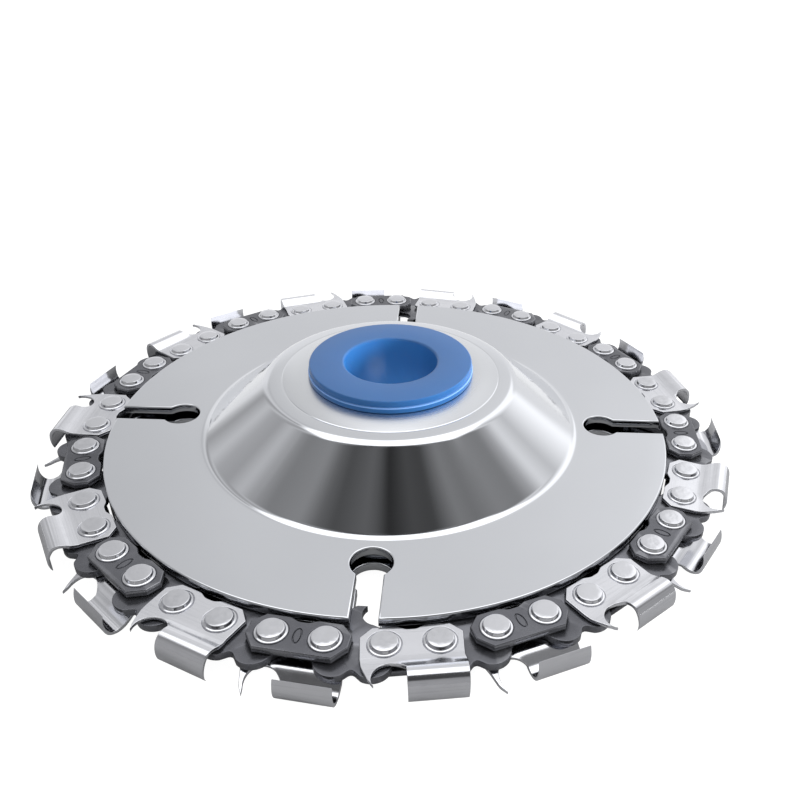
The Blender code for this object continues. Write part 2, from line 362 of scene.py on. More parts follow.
def objectPlace(tree):
    return addNode(tree, "ShaderNodeTexCoord").outputs["Object"]


def turnedPlace(tree):
    # the place itself, its distance from the axis and its height
    place = objectPlace(tree)
    x, y, height = addNode(tree, "ShaderNodeSeparateXYZ", {0: place}).outputs
    flat = addNode(tree, "ShaderNodeCombineXYZ", {"X": x, "Y": y})
    radius = addNode(tree, "ShaderNodeVectorMath", {0: flat.outputs[0]}, operation="LENGTH")
    return place, radius.outputs["Value"], height


steelValues = {
    "light": "#d4d6da",
    "dark": "#cbcdd1",
    "roughness": (0.075, 0.115),
    "hub": "#d3d5d8",
    "hubRoughness": 0.29,      # the hub's face is left as it was turned, satin and paler
    "hubEdge": 17.2,           # mm, where that ends
    "hubBlend": 3.4,           # mm
    "hubLow": 11.6,            # mm over the floor
    "hubGrain": 0.65,          # its turning lines spread highlights outward
    "lineSpacing": 0.35,       # mm between polishing lines; real ones are finer and wouldn't show
    "cloudSize": 22.0,         # mm
    "bump": 0.012,
}


def polishedSteel():
    # Cold-rolled sheet, pressed and polished while it turns: faint rings, near-mirror cone
    v = steelValues
    material, tree, shader = newMaterial("polishedSheetSteel")
    place, radius, height = turnedPlace(tree)
    ring = addNode(tree, "ShaderNodeCombineXYZ", {"X": calculate(tree, "SUBTRACT", radius, height)})
    lines = addNoise(tree, ring.outputs[0], v["lineSpacing"], 3.0)
    clouds = addNoise(tree, place, v["cloudSize"], 4.0)
    low, high = v["roughness"]
    polish = mapRange(tree, multiplied(tree, lines, clouds), 0.1, 0.45, low, high)
    inside = makeMask(tree, radius, v["hubEdge"] * mm, (v["hubEdge"] - v["hubBlend"]) * mm)
    above = mapRange(tree, height, (v["hubLow"] - 0.2) * mm, v["hubLow"] * mm)
    onHub = multiplied(tree, inside, above)
    satin = multiplied(tree, onHub, v["hubRoughness"] - high)
    sheet = mixColours(tree, clouds, v["dark"], v["light"])
    colour = mixColours(tree, onHub, sheet, v["hub"])
    roughness = calculate(tree, "ADD", polish, satin)
    linkFinish(tree, shader, 1.0, colour, roughness, addBump(tree, lines, v["bump"], 0.02))
    around = addNode(tree, "ShaderNodeTangent", direction_type="RADIAL", axis="Z")
    shader["Anisotropic Rotation"].default_value = 0.25
    tree.links.new(multiplied(tree, onHub, v["hubGrain"]), shader["Anisotropic"])
    tree.links.new(around.outputs[0], shader["Tangent"])
    return material


nickelValues = {
    "light": "#e0e1e5",
    "dark": "#cbccd1",
    "streak": "#b2b4b9",
    "streakMix": 0.3,
    "roughness": (0.12, 0.20),
    "mottleSize": 1.6,         # mm, the soft mottle that barrel finishing leaves
    "streakLong": 9.0,         # mm, rolling marks along the strip the cutters are pressed from
    "streakWide": 0.16,        # mm
    "bump": 0.05,
}


def nickelPlate():
    # Nickel over cold-rolled strip: bright, with rolling marks along the chain; links differ a shade
    v = nickelValues
    material, tree, shader = newMaterial("brightNickelPlate")
    own = addNode(tree, "ShaderNodeAttribute", attribute_name="linkPlace")
    shade = addNode(tree, "ShaderNodeAttribute", attribute_name="linkShade")
    squeezed = addNode(tree, "ShaderNodeVectorMath", {
        0: own.outputs["Vector"], 1: (v["streakWide"] / v["streakLong"], 1.0, 1.0),
    }, operation="MULTIPLY")
    apart = addNode(tree, "ShaderNodeVectorMath", {
        0: squeezed.outputs[0], 1: shade.outputs["Vector"],
    })
    streaks = addNoise(tree, apart.outputs[0], v["streakWide"], 4.0)
    mottle = addNoise(tree, objectPlace(tree), v["mottleSize"], 5.0)
    plain = mixColours(tree, multiplied(tree, shade.outputs["Fac"], mottle), v["light"], v["dark"])
    mark = mapRange(tree, streaks, 0.5, 0.72, 0.0, v["streakMix"])
    colour = mixColours(tree, mark, plain, v["streak"])
    roughness = mapRange(tree, multiplied(tree, mottle, streaks), 0.12, 0.42, *v["roughness"])
    linkFinish(tree, shader, 1.0, colour, roughness, addBump(tree, streaks, v["bump"], 0.01))
    return material


rivetFinish = {
    "light": "#d6d7db",
    "dark": "#bdbec2",
    "roughness": (0.05, 0.09),
    "dentSize": 0.75,          # mm, flats that the spin-forming tool leaves
    "bump": 0.35,
}


def formedSteel():
    # Soft steel rivets, heads spun over: burnished, with a slightly uneven shoulder
    v = rivetFinish
    material, tree, shader = newMaterial("burnishedRivetSteel")
    shade = addNode(tree, "ShaderNodeAttribute", attribute_name="linkShade")
    dents = addNoise(tree, objectPlace(tree), v["dentSize"], 1.5)
    colour = mixColours(tree, multiplied(tree, shade.outputs["Fac"], dents), v["light"], v["dark"])
    roughness = mapRange(tree, dents, 0.3, 0.7, *v["roughness"])
    linkFinish(tree, shader, 1.0, colour, roughness, addBump(tree, dents, v["bump"], 0.04))
    return material


oxideValues = {
    "light": "#707176",
    "dark": "#56575c",
    "worn": "#b8b9bd",
    "wornMix": 0.55,
    "roughness": (0.19, 0.30),
    "metallic": 0.85,          # the oxide skin dulls the steel
    "patchSize": 2.4,          # mm
    "grainSize": 0.25,         # mm
    "bump": 0.12,
}


def blackOxide():
    # Carbon steel blackened in hot salts: satin dark grey, paler where edges have rubbed
    v = oxideValues
    material, tree, shader = newMaterial("blackOxideSteel")
    place = objectPlace(tree)
    shade = addNode(tree, "ShaderNodeAttribute", attribute_name="linkShade")
    patches = addNoise(tree, place, v["patchSize"], 5.0, 0.6)
    grain = addNoise(tree, place, v["grainSize"], 2.0)
    tone = calculate(tree, "ADD", shade.outputs["Fac"], patches)
    base = mixColours(tree, multiplied(tree, tone, 0.5), v["dark"], v["light"])
    edges = addNode(tree, "ShaderNodeNewGeometry").outputs["Pointiness"]
    wear = mapRange(tree, edges, 0.53, 0.62, 0.0, v["wornMix"])
    colour = mixColours(tree, multiplied(tree, wear, patches), base, v["worn"])
    roughness = mapRange(tree, patches, 0.3, 0.7, *v["roughness"])
    linkFinish(tree, shader, v["metallic"], colour, roughness, addBump(tree, grain, v["bump"], 0.02))
    return material


nylonValues = {
    "light": "#2e649f",
    "dark": "#295d97",
    # lip is the colour of a painted highlight, a paler line that stands in for light caught by the edge of
    # the flange's lower band
    "lip": "#7fabe6",
    "paintedHighlightLow": 13.27,           # mm over the floor, the band of a painted highlight: a paler line on the rounded top edge of the flange's lower band, under the groove
    "paintedHighlightHigh": 13.37,
    "paintedHighlightMix": 0.8,
    "roughness": (0.30, 0.38),
    "patchSize": 7.0,          # mm
    "grainSize": 0.18,         # mm, the spark-eroded grain of the mould
    "bump": 0.06,
    "glowWeight": 0.08,
    "glowDepth": 0.6,          # mm
}


def blueNylon():
    # Injection-moulded nylon, coloured through: soft sheen, and a painted highlight, a paler line on the top
    # edge of the flange's lower band
    v = nylonValues
    material, tree, shader = newMaterial("mouldedBlueNylon")
    place, radius, height = turnedPlace(tree)
    patches = addNoise(tree, place, v["patchSize"], 3.0)
    grain = addNoise(tree, place, v["grainSize"], 2.0)
    plain = mixColours(tree, patches, v["dark"], v["light"])
    # painted highlight: a paler line, masked by height and radius, on the top edge of the lower band
    lip = multiplied(
        tree,
        makeMask(tree, height, (v["paintedHighlightLow"] - 0.05) * mm, v["paintedHighlightLow"] * mm),
        makeMask(tree, height, (v["paintedHighlightHigh"] + 0.05) * mm, v["paintedHighlightHigh"] * mm),
        makeMask(tree, radius, 10 * mm, 11 * mm),
        v["paintedHighlightMix"],
    )
    colour = mixColours(tree, lip, plain, v["lip"])
    roughness = mapRange(tree, grain, 0.3, 0.7, *v["roughness"])
    linkFinish(tree, shader, 0.0, colour, roughness, addBump(tree, grain, v["bump"], 0.02))
    shader["IOR"].default_value = 1.53
    shader["Subsurface Weight"].default_value = v["glowWeight"]
    shader["Subsurface Scale"].default_value = v["glowDepth"] * mm
    return material


discSizes = {                  # mm, heights over the chain's mid plane
    "radius": 41.6,
    "plateThick": 1.3,
    "plateGap": 0.65,
    "hubHeight": 10.5,
    "hubEdge": 17.47,
    "hubCrown": 12.9,          # the hub's face falls away a little outside this
    "hubFall": 0.62,
    "ringAt": 15.95,           # fine turned line around the hub's face
    "ringHalf": 0.12,
    "ringDeep": 0.045,
    "ringTilt": 0.016,         # its outer edge is this much lower, its inner one higher
    "coneFoot": 27.75,
    "hole": 11.1,
    "holeRound": 0.15,
    "edgeRound": 0.2,
    "joint": 29.2,             # where the turned middle meets the slotted plate
    "slotWidth": 3.3,
    "slotEndRadius": 2.65,
    "slotEndAt": 32.2,
    "nestGap": 0.3,
    "weld": 0.002,
    "steps": 240,
}


def coneRadius(height, inset):
    run = discSizes["coneFoot"] - discSizes["hubEdge"]
    rise = discSizes["hubHeight"] - discSizes["plateGap"] - discSizes["plateThick"]
    slanted = inset * hypot(run, rise) / rise
    return discSizes["hubEdge"] + (discSizes["hubHeight"] - height) * run / rise - slanted


def middleProfile(topInset, plateTop, rounds):
    # section of a disc's turned middle: over the top, round the hole and back below
    s = discSizes
    hubTop = s["hubHeight"] - topInset
    hubLow = hubTop - s["plateThick"]
    plateLow = plateTop - s["plateThick"]
    lowInset = topInset + s["plateThick"]
    hubOver, footOver, footUnder, hubUnder = rounds
    shoulder = hubTop - s["hubFall"]
    shoulderAt = coneRadius(shoulder, topInset)
    ringTop = hubTop - s["hubFall"] * (s["ringAt"] - s["hubCrown"]) / (shoulderAt - s["hubCrown"])
    return roundedPath([
        (s["joint"], plateTop, 0, 0),
        (coneRadius(plateTop, topInset), plateTop, footOver, 10),
        (shoulderAt, shoulder, hubOver, 12),
        (s["ringAt"] + s["ringHalf"], ringTop - s["ringTilt"], 0.1, 2),
        (s["ringAt"], ringTop - s["ringDeep"], 0.05, 2),
        (s["ringAt"] - s["ringHalf"], ringTop + s["ringTilt"], 0.1, 2),
        (s["hubCrown"], hubTop, 14.0, 12),
        (s["hole"], hubTop, s["holeRound"], 3),
        (s["hole"], hubLow, s["holeRound"], 3),
        (coneRadius(hubLow, lowInset), hubLow, hubUnder, 6),
        (coneRadius(plateLow, lowInset), plateLow, footUnder, 10),
        (s["joint"], plateLow, 0, 0),
    ], closed=False)


def slottedOutline():
    # rim of the disc with a keyhole slot running in at each quarter
    s = discSizes
    half = s["slotWidth"] / 2
    rimAngle = degrees(asin(half / s["radius"]))
    endAngle = degrees(asin(half / s["slotEndRadius"]))
    quarter = arcPoints((0, 0), s["radius"], rimAngle, 90 - rimAngle, 60)
    keyhole = arcPoints((0, s["slotEndAt"]), s["slotEndRadius"], 90 - endAngle, endAngle - 270, 28)
    outline = []
    for i in range(4):
        turn = Matrix.Rotation(i * pi / 2, 2)
        outline += [tuple(turn @ Vector(point)) for point in [*quarter, *keyhole]]
    return outline


def makeDisc(name, topInset, plateTop, rounds, turnTree, material):
    s = discSizes
    disc = lineObject(name, middleProfile(topInset, plateTop, rounds))
    addTree(disc, turnTree, {"Steps": s["steps"], "Finish": material})
    applyTree(disc)
    shape = bmesh.new()
    shape.from_mesh(disc.data)
    joint = arcPoints((0, 0), s["joint"], 0, 360, s["steps"])[:-1]
    rings = edgeRings(plateTop - s["plateThick"], plateTop, s["edgeRound"], s["edgeRound"], 3)
    low, high = addWall(shape, slottedOutline(), rings)
    for edges, height in ((low, rings[0][1]), (high, rings[-1][1])):
        circle = [shape.verts.new((x, y, height)) for x, y in joint]
        inner = [shape.edges.new((circle[i - 1], circle[i])) for i in range(len(circle))]
        fillFlat(shape, edges + inner)
    bmesh.ops.remove_doubles(shape, verts=shape.verts, dist=s["weld"])
    for f in shape.faces:
        f.material_index = 0
    shape.to_mesh(disc.data)
    shape.free()
    disc.data.materials.clear()
    disc.data.materials.append(material)
    disc.data.transform(Matrix.Translation((0, 0, midHeight * mm)) @ Matrix.Scale(mm, 4))
    cleanMesh(disc.data, turnedSharp)
    return disc


bushingSizes = {               # mm, heights over the chain's mid plane
    "bore": 6.75,
    "lip": 0.42,
    "flange": 12.05,
    "flangeLow": 10.53,
    "flangeTop": 12.4,
    "grooveLow": 11.38,
    "grooveHigh": 11.52,
    "grooveDeep": 0.28,
    "bandStep": 0.16,          # the band over the groove stands back by this
    "spigot": 10.85,
    "sleeve": 9.2,
    "collar": 9.35,
    "collarTop": 7.3,
    "low": 3.6,
    "boreSeam": 8.0,           # where each section's line starts and ends
    "collarSeam": 5.5,
    "collarGroove": 0.45,      # share of the collar's height
    "collarGrooveHalf": 0.1,
    "steps": 160,
}


def makeBushing(name, corners, turnTree, material):
    bushing = lineObject(name, roundedPath(corners + [corners[0]], closed=False))
    addTree(bushing, turnTree, {"Steps": bushingSizes["steps"], "Finish": material})
    applyTree(bushing)
    bushing.data.transform(Matrix.Translation((0, 0, midHeight * mm)) @ Matrix.Scale(mm, 4))
    cleanMesh(bushing.data, turnedSharp)
    return bushing


def bushingCorners():
    s = bushingSizes
    hubTop = discSizes["hubHeight"]
    lowerFace = hubTop - 2 * discSizes["plateThick"] - discSizes["nestGap"]
    upper = [
        (s["bore"], s["boreSeam"], 0, 0),
        (s["bore"], s["flangeTop"], s["lip"], 8),
        (s["flange"] - s["bandStep"], s["flangeTop"], 0.2, 5),
        (s["flange"] - s["bandStep"], s["grooveHigh"], 0.05, 2),
        (s["flange"] - s["grooveDeep"], s["grooveHigh"], 0.0, 2),
        (s["flange"] - s["grooveDeep"], s["grooveLow"], 0.04, 2),
        (s["flange"], s["grooveLow"], 0.13, 5),
        (s["flange"], s["flangeLow"], 0.15, 3),
        (s["spigot"], s["flangeLow"], 0.05, 2),
        (s["spigot"], lowerFace, 0.1, 2),
        (s["sleeve"], lowerFace, 0.05, 2),
        (s["sleeve"], s["low"], 0.2, 3),
        (s["bore"], s["low"], 0.25, 4),
    ]
    middle = s["low"] + s["collarGroove"] * (s["collarTop"] - s["low"])
    above, below = middle + s["collarGrooveHalf"], middle - s["collarGrooveHalf"]
    collar = [
        (s["collar"], s["collarSeam"], 0, 0),
        (s["collar"], s["collarTop"], 0.1, 2),
        (s["flange"], s["collarTop"], 0.2, 4),
        (s["flange"], above, 0.05, 2),
        (s["flange"] - s["grooveDeep"], above, 0.04, 2),
        (s["flange"] - s["grooveDeep"], below, 0.04, 2),
        (s["flange"], below, 0.11, 3),
        (s["flange"], s["low"], 0.25, 4),
        (s["collar"], s["low"], 0.2, 3),
    ]
    return upper, collar


# Each link is modelled around its own middle: x along the chain, anticlockwise from above,
# and y outward from its rivet line.

chainSizes = {                 # mm
    "pitchRadius": 44.5,
    "teeth": 22,
    "firstLink": -82.7,        # degrees, where the first upper cutter stands
    "sideHalf": 3.1,           # half the rivet spacing of a cutter or strap
    "driveThick": 1.0,
    "gap": 0.1,
    "strapThick": 0.9,
    "cutterThick": 0.45,
    "pinHole": 1.35,
    "headHole": 2.0,           # countersink around a formed rivet head
    "headHoleDeep": 0.11,
}
sideBase = chainSizes["driveThick"] / 2 + chainSizes["gap"]
sideRow = sqrt(chainSizes["pitchRadius"] ** 2 - chainSizes["sideHalf"] ** 2)
driveHalf = chainSizes["pitchRadius"] * sin(
    pi / chainSizes["teeth"] - chainSizes["sideHalf"] / chainSizes["pitchRadius"]
)
driveRow = sqrt(chainSizes["pitchRadius"] ** 2 - driveHalf ** 2)


def rivetHoles(half, low, high):
    # through holes with a shallow countersink on top, where the rivet head is formed
    s = chainSizes
    seat = high - s["headHoleDeep"]
    rings = [
        (-0.06, low),
        (0, low + 0.06),
        (0, seat - 0.02),
        (s["pinHole"] - s["headHole"] + 0.02, seat),
        (s["pinHole"] - s["headHole"], seat + 0.02),
        (s["pinHole"] - s["headHole"], high - 0.03),
        (s["pinHole"] - s["headHole"] - 0.03, high),
        (s["pinHole"] - s["headHole"] - 0.06, high),
    ]
    return [(arcPoints((x, 0), s["pinHole"], 0, 360, 32)[:-1], rings) for x in (-half, half)]


strapSizes = {                 # mm
    "halfLength": 5.85,
    "halfWidth": 2.55,
    "cut": 1.4,
    "outerCut": 1.85,
    "notch": 1.6,
    "notchDeep": 0.5,
    "topRound": 0.13,
    "lowRound": 0.08,
    "markLong": 1.05,          # oval mark, half length and half width
    "markWide": 0.43,
    "markTilt": -4.0,
    "markDeep": 0.14,
}


def strapShape():
    s = strapSizes
    long, wide = s["halfLength"], s["halfWidth"]
    outline = roundedPath([
        (-s["notch"], -wide, 1.1, 5),
        (-s["notch"] + 1.0, -wide + s["notchDeep"], 1.1, 5),
        (s["notch"] - 1.0, -wide + s["notchDeep"], 1.1, 5),
        (s["notch"], -wide, 1.1, 5),
        (long - s["cut"], -wide, 0.12, 2),
        (long, -wide + s["cut"], 0.15, 2),
        (long, wide - s["outerCut"], 0.2, 3),
        (long - s["cut"], wide, 0.12, 2),
        (-long + s["cut"], wide, 0.12, 2),
        (-long, wide - s["outerCut"], 0.2, 3),
        (-long, -wide + s["cut"], 0.15, 2),
        (-long + s["cut"], -wide, 0.12, 2),
    ])
    low, high = sideBase, sideBase + chainSizes["strapThick"]
    oval = []
    turn = Matrix.Rotation(radians(s["markTilt"]), 2)
    for x, y in arcPoints((0, 0), 1, 0, 360, 28)[:-1]:
        oval.append(tuple(turn @ Vector((x * s["markWide"], y * s["markLong"])) + Vector((-0.05, 0.1))))
    groove = [
        (-0.14, high),
        (-0.11, high),
        (-0.04, high - s["markDeep"]),
        (0.04, high - s["markDeep"]),
        (0.11, high),
        (0.14, high),
    ]
    return makePlate(
        outline,
        edgeRings(low, high, s["lowRound"], s["topRound"], 1),
        rivetHoles(chainSizes["sideHalf"], low, high),
        [(oval, groove)],
    )


cutterSizes = {                # mm
    "gulletCentre": (-2.75, 4.85),
    "gulletRadius": 2.0,
    "leadingEdge": -0.87,
    "heel": 5.7,
    "bendStart": 1.6,
    "edgeRound": 0.05,
    "stations": 30,            # strips across the rolled tooth
    "toothTip": 0.04,          # thickness at the ground edge
}
upperTooth = {                 # outer face of the tooth, outward and up
    "path": [
        (1.6, 1.05), (2.4, 1.09), (3.1, 1.31), (3.95, 1.72), (4.7, 1.87), (5.45, 1.64),
        (6.0, 1.0), (6.23, 0.2), (6.25, -0.6), (6.1, -1.3), (5.9, -1.66),
    ],
    "hornReach": 5.85,
    "hornLift": 0.28,
}
lowerTooth = {                 # the same upside down, bent a little further
    "path": [
        (1.6, 1.05), (2.4, 1.12), (3.1, 1.46), (3.9, 2.0), (4.7, 2.28), (5.45, 2.24),
        (6.05, 1.9), (6.4, 1.25), (6.47, 0.5), (6.36, -0.3), (6.1, -1.15),
    ],
    "hornReach": 6.4,
    "hornLift": 1.1,
}


def smoothStep(value, low, high):
    t = min(1.0, max(0.0, (value - low) / (high - low)))
    return t * t * (3 - 2 * t)


def finePath(points, parts):
    # Catmull-Rom through the points, with the length run so far at each
    ends = [Vector(p) for p in points]
    ends = [ends[0] * 2 - ends[1], *ends, ends[-1] * 2 - ends[-2]]
    ends[0].y = ends[1].y
    path = []
    for a, b, c, d in zip(ends, ends[1:], ends[2:], ends[3:]):
        for i in range(parts):
            t = i / parts
            path.append((b * 2 + (c - a) * t + (a * 2 - b * 5 + c * 4 - d) * t**2
                         + (b * 3 - a - c * 3 + d) * t**3) / 2)
    path.append(ends[-2])
    lengths = [0.0]
    for a, b in zip(path, path[1:]):
        lengths.append(lengths[-1] + (b - a).length)
    return path, lengths


def alongPath(path, lengths, distance):
    distance = min(max(distance, 0.0), lengths[-1])
    i = 1
    while lengths[i] < distance and i < len(lengths) - 1:
        i += 1
    share = (distance - lengths[i - 1]) / (lengths[i] - lengths[i - 1])
    way = (path[i] - path[i - 1]).normalized()
    return path[i - 1].lerp(path[i], share), Vector((-way.y, way.x))


def cutterShape(tooth):
    # a flat blank, cut into strips where it bends, then rolled over the tooth's path
    s = cutterSizes
    path, lengths = finePath(tooth["path"], 8)
    end = s["bendStart"] + lengths[-1]
    gullet = arcPoints(s["gulletCentre"], s["gulletRadius"], -26, -200, 20)
    corners = [
        (-1.6, -2.5, 1.1, 4),
        (-0.6, -2.0, 1.1, 4),
        (0.6, -2.0, 1.1, 4),
        (1.6, -2.5, 1.1, 4),
        (4.4, -2.5, 0.12, 2),
        (5.8, -1.2, 0.2, 3),
        (5.62, 2.0, 0.9, 4),
        (s["heel"] + 0.12, 3.3, 0.9, 4),
        (s["heel"], end, 0.1, 2),
        (s["leadingEdge"], end, 0.1, 2),
        *[(x, y, 0, 0) for x, y in gullet],
        (-4.5, tooth["hornReach"], 0, 0),
        (-5.1, tooth["hornReach"] - 0.95, 1.6, 4),
        (-5.5, 3.8, 2.0, 3),
        (-5.8, 2.9, 1.5, 3),
        (-5.88, 1.9, 0.9, 3),
        (-5.8, -1.2, 0.2, 3),
        (-4.4, -2.5, 0.12, 2),
    ]
    thick = chainSizes["cutterThick"]
    shape = makePlate(
        roundedPath(corners),
        edgeRings(0.0, thick, s["edgeRound"], s["edgeRound"], 1, 0.025),
        rivetHoles(chainSizes["sideHalf"], 0.0, thick),
    )
    for i in range(s["stations"]):
        at = s["bendStart"] + (end - s["bendStart"]) * (i + 0.5) / s["stations"]
        everything = shape.verts[:] + shape.edges[:] + shape.faces[:]
        bmesh.ops.bisect_plane(shape, geom=everything, dist=1e-5, plane_co=(0, at, 0), plane_no=(0, 1, 0))
    for v in shape.verts:
        along, out, depth = v.co
        if out <= s["bendStart"]:
            v.co.z = sideBase + depth
            continue
        top, normal = alongPath(path, lengths, out - s["bendStart"])
        left = 1 - smoothStep(end - out, 0.0, 0.4 * (end - s["bendStart"]))
        here = thick * (1 - left) + s["toothTip"] * left
        rolled = top - normal * here * (1 - depth / thick)
        lift = tooth["hornLift"] * smoothStep(out, 2.2, 6.6)
        horn = Vector((out, sideBase + depth + lift))
        place = horn.lerp(rolled, smoothStep(along, -3.4, -1.1))
        v.co.y, v.co.z = place.x, place.y
    return shape


driveSizes = {                 # mm
    "lobeAt": 2.1,
    "lobeRadius": 2.25,
    "endRadius": 2.4,
    "hookCentre": (1.95, -5.05),
    "hookRadius": 1.75,
    "edgeRound": 0.07,
}


def driveShape():
    s = driveSizes
    at, lobe, end = s["lobeAt"], s["lobeRadius"], s["endRadius"]
    corners = [
        *[(x, y, 0, 0) for x, y in arcPoints((-at, at), lobe, 62, 176, 14)],
        *[(x, y, 0, 0) for x, y in arcPoints((-driveHalf, 0), end, 180, 240, 9)],
        (-3.0, -3.4, 1.2, 3),
        (-1.15, -5.7, 0.8, 3),
        (-0.55, -6.25, 0.3, 3),
        *[(x, y, 0, 0) for x, y in arcPoints(s["hookCentre"], s["hookRadius"], -137, -258, 12)],
        *[(x, y, 0, 0) for x, y in arcPoints((driveHalf, 0), end, -60, 0, 9)],
        *[(x, y, 0, 0) for x, y in arcPoints((at, at), lobe, 4, 118, 14)],
        (0, 3.1, 0.5, 3),
    ]
    half = chainSizes["driveThick"] / 2
    plain = [(-0.05, -half), (0, -half + 0.05), (0, half - 0.05), (-0.05, half)]
    holes = []
    for x in (-driveHalf, driveHalf):
        holes.append((arcPoints((x, 0), chainSizes["pinHole"], 0, 360, 24)[:-1], plain))
    return makePlate(roundedPath(corners), edgeRings(-half, half, s["edgeRound"], s["edgeRound"], 2), holes)


rivetSizes = {                 # mm
    "top": 1.52,
    "shoulder": 1.65,
    "ledge": 1.93,
    "riseOver": 0.55,          # crown over the cutter or strap below it
    "pin": 1.3,
    "steps": 40,
}


def headProfile(plateTop):
    # a formed head, from its crown down to the pin: flat, bevelled shoulder, low ledge
    s = rivetSizes
    seat = plateTop - chainSizes["headHoleDeep"] + 0.01
    topHeight = plateTop + s["riseOver"]
    rise = topHeight - seat
    return [
        (0, topHeight, 0, 0),
        (0.5 * s["top"], topHeight + 0.004, 0, 0),
        (s["top"], topHeight, 0.12, 5),
        (s["shoulder"], seat + 0.36 * rise, 0.1, 4),
        (s["ledge"] - 0.05, seat + 0.3 * rise, 0.09, 4),
        (s["ledge"], seat, 0, 0),
        (s["pin"], seat, 0, 0),
    ]


def rivetProfile(plateTop, plateLow):
    above = headProfile(plateTop)
    below = [(r, -z, radius, steps) for r, z, radius, steps in reversed(headProfile(plateLow))]
    return roundedPath(above + below, closed=False)


def makeRivetPair(name, profile, turnTree, material):
    rivet = lineObject(name, profile)
    addTree(rivet, turnTree, {"Steps": rivetSizes["steps"], "Finish": material})
    applyTree(rivet)
    shape = bmesh.new()
    for x in (-chainSizes["sideHalf"], chainSizes["sideHalf"]):
        rivet.data.transform(Matrix.Translation((x, 0, 0)))
        shape.from_mesh(rivet.data)
        rivet.data.transform(Matrix.Translation((-x, 0, 0)))
    bpy.data.objects.remove(rivet, do_unlink=True)
    return shape


def makeRing(name, shape, row, first, count, seed, ringTree, material, sharpAngle, flipped=False):
    # stands one link in the chain at angle 0, then lets the tree copy it round
    height = -1 if flipped else 1
    stand = Matrix(((0, 1, 0, row), (1, 0, 0, 0), (0, 0, height, midHeight), (0, 0, 0, 1)))
    mesh = bpy.data.meshes.new(name)
    shape.to_mesh(mesh)
    shape.free()
    mesh.transform(Matrix.Scale(mm, 4))
    own = mesh.attributes.new("linkPlace", "FLOAT_VECTOR", "POINT")
    for i, vertex in enumerate(mesh.vertices):
        own.data[i].vector = vertex.co
    mesh.transform(Matrix.Scale(mm, 4) @ stand @ Matrix.Scale(1 / mm, 4))
    cleanMesh(mesh, sharpAngle)
    piece = addObject(name, mesh)
    addTree(piece, ringTree, {
        "Count": count,
        "First Angle": radians(first),
        "Step Angle": 2 * pi / count,
        "Seed": seed,
        "Finish": material,
    })
    applyTree(piece)
    piece.data.shade_smooth()
    piece.data.set_sharp_from_angle(angle=radians(sharpAngle))
    return piece


def finishPiece(piece, body, nodes):
    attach(piece, body)
    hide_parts(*nodes)
    print("piece", piece.name, len(piece.data.polygons), "faces")


print("trees and finishes")
turnTree = makeTurnTree()
ringTree = makeRingTree()
steel = polishedSteel()
nickel = nickelPlate()
rivetSteel = formedSteel()
oxide = blackOxide()
nylon = blueNylon()

print("discs")
plateTop = discSizes["plateGap"] + discSizes["plateThick"]
upperDisc = makeDisc("upperDisc", 0.0, plateTop, (2.4, 1.9, 3.3, 1.7), turnTree, steel)
nest = discSizes["plateThick"] + discSizes["nestGap"]
lowerDisc = makeDisc("lowerDisc", nest, -discSizes["plateGap"], (1.4, 1.5, 2.8, 0.4), turnTree, steel)
finishPiece(upperDisc, "upper_disc", ["upper_disc"])
finishPiece(lowerDisc, "lower_disc", ["lower_disc"])

print("bushings")
upperCorners, collarCorners = bushingCorners()
upperBushing = makeBushing("flangedBushing", upperCorners, turnTree, nylon)
collarBushing = makeBushing("collarBushing", collarCorners, turnTree, nylon)
finishPiece(upperBushing, "bushing_upper", ["bushing_upper"])
finishPiece(collarBushing, "bushing_lower", ["bushing_lower"])

print("chain")
half = chainSizes["teeth"] // 2
linkAngle = 360 / chainSizes["teeth"]
firstLink = chainSizes["firstLink"]
secondLink = firstLink + linkAngle
strapTop = sideBase + chainSizes["strapThick"]
cutterTop = sideBase + chainSizes["cutterThick"]
nodeNames = {}
for kind in ("drive_link", "cutter_upper", "preset_strap", "riveted_link"):
    nodeNames[kind] = [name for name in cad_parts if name.startswith(kind)]

cuttersUpper = makeRing(
    "cuttersUpper", cutterShape(upperTooth), sideRow, firstLink, half, 3, ringTree, nickel, pressedSharp
)
cuttersLower = makeRing(
    "cuttersLower", cutterShape(lowerTooth),
    sideRow, secondLink, half, 5, ringTree, nickel, pressedSharp, flipped=True,
)
strapsUpper = makeRing(
    "strapsUpper", strapShape(), sideRow, secondLink, half, 7, ringTree, oxide, pressedSharp
)
strapsLower = makeRing(
    "strapsLower", strapShape(), sideRow, firstLink, half, 9, ringTree, oxide, pressedSharp, flipped=True
)
driveLinks = makeRing(
    "driveLinks", driveShape(),
    driveRow, firstLink + linkAngle / 2, 2 * half, 11, ringTree, oxide, pressedSharp,
)
rivetsOverCutters = makeRing(
    "rivetsOverCutters",
    makeRivetPair("rivet", rivetProfile(cutterTop, strapTop), turnTree, rivetSteel),
    sideRow, firstLink, half, 13, ringTree, rivetSteel, turnedSharp,
)
rivetsOverStraps = makeRing(
    "rivetsOverStraps",
    makeRivetPair("rivet", rivetProfile(strapTop, cutterTop), turnTree, rivetSteel),
    sideRow, secondLink, half, 15, ringTree, rivetSteel, turnedSharp,
)
finishPiece(cuttersUpper, "chain", nodeNames["cutter_upper"])
finishPiece(cuttersLower, "chain", nodeNames["riveted_link"])
finishPiece(strapsUpper, "chain", nodeNames["riveted_link"])
finishPiece(strapsLower, "chain", nodeNames["preset_strap"])
finishPiece(driveLinks, "chain", nodeNames["drive_link"])
finishPiece(rivetsOverCutters, "chain", nodeNames["preset_strap"])
finishPiece(rivetsOverStraps, "chain", nodeNames["riveted_link"])


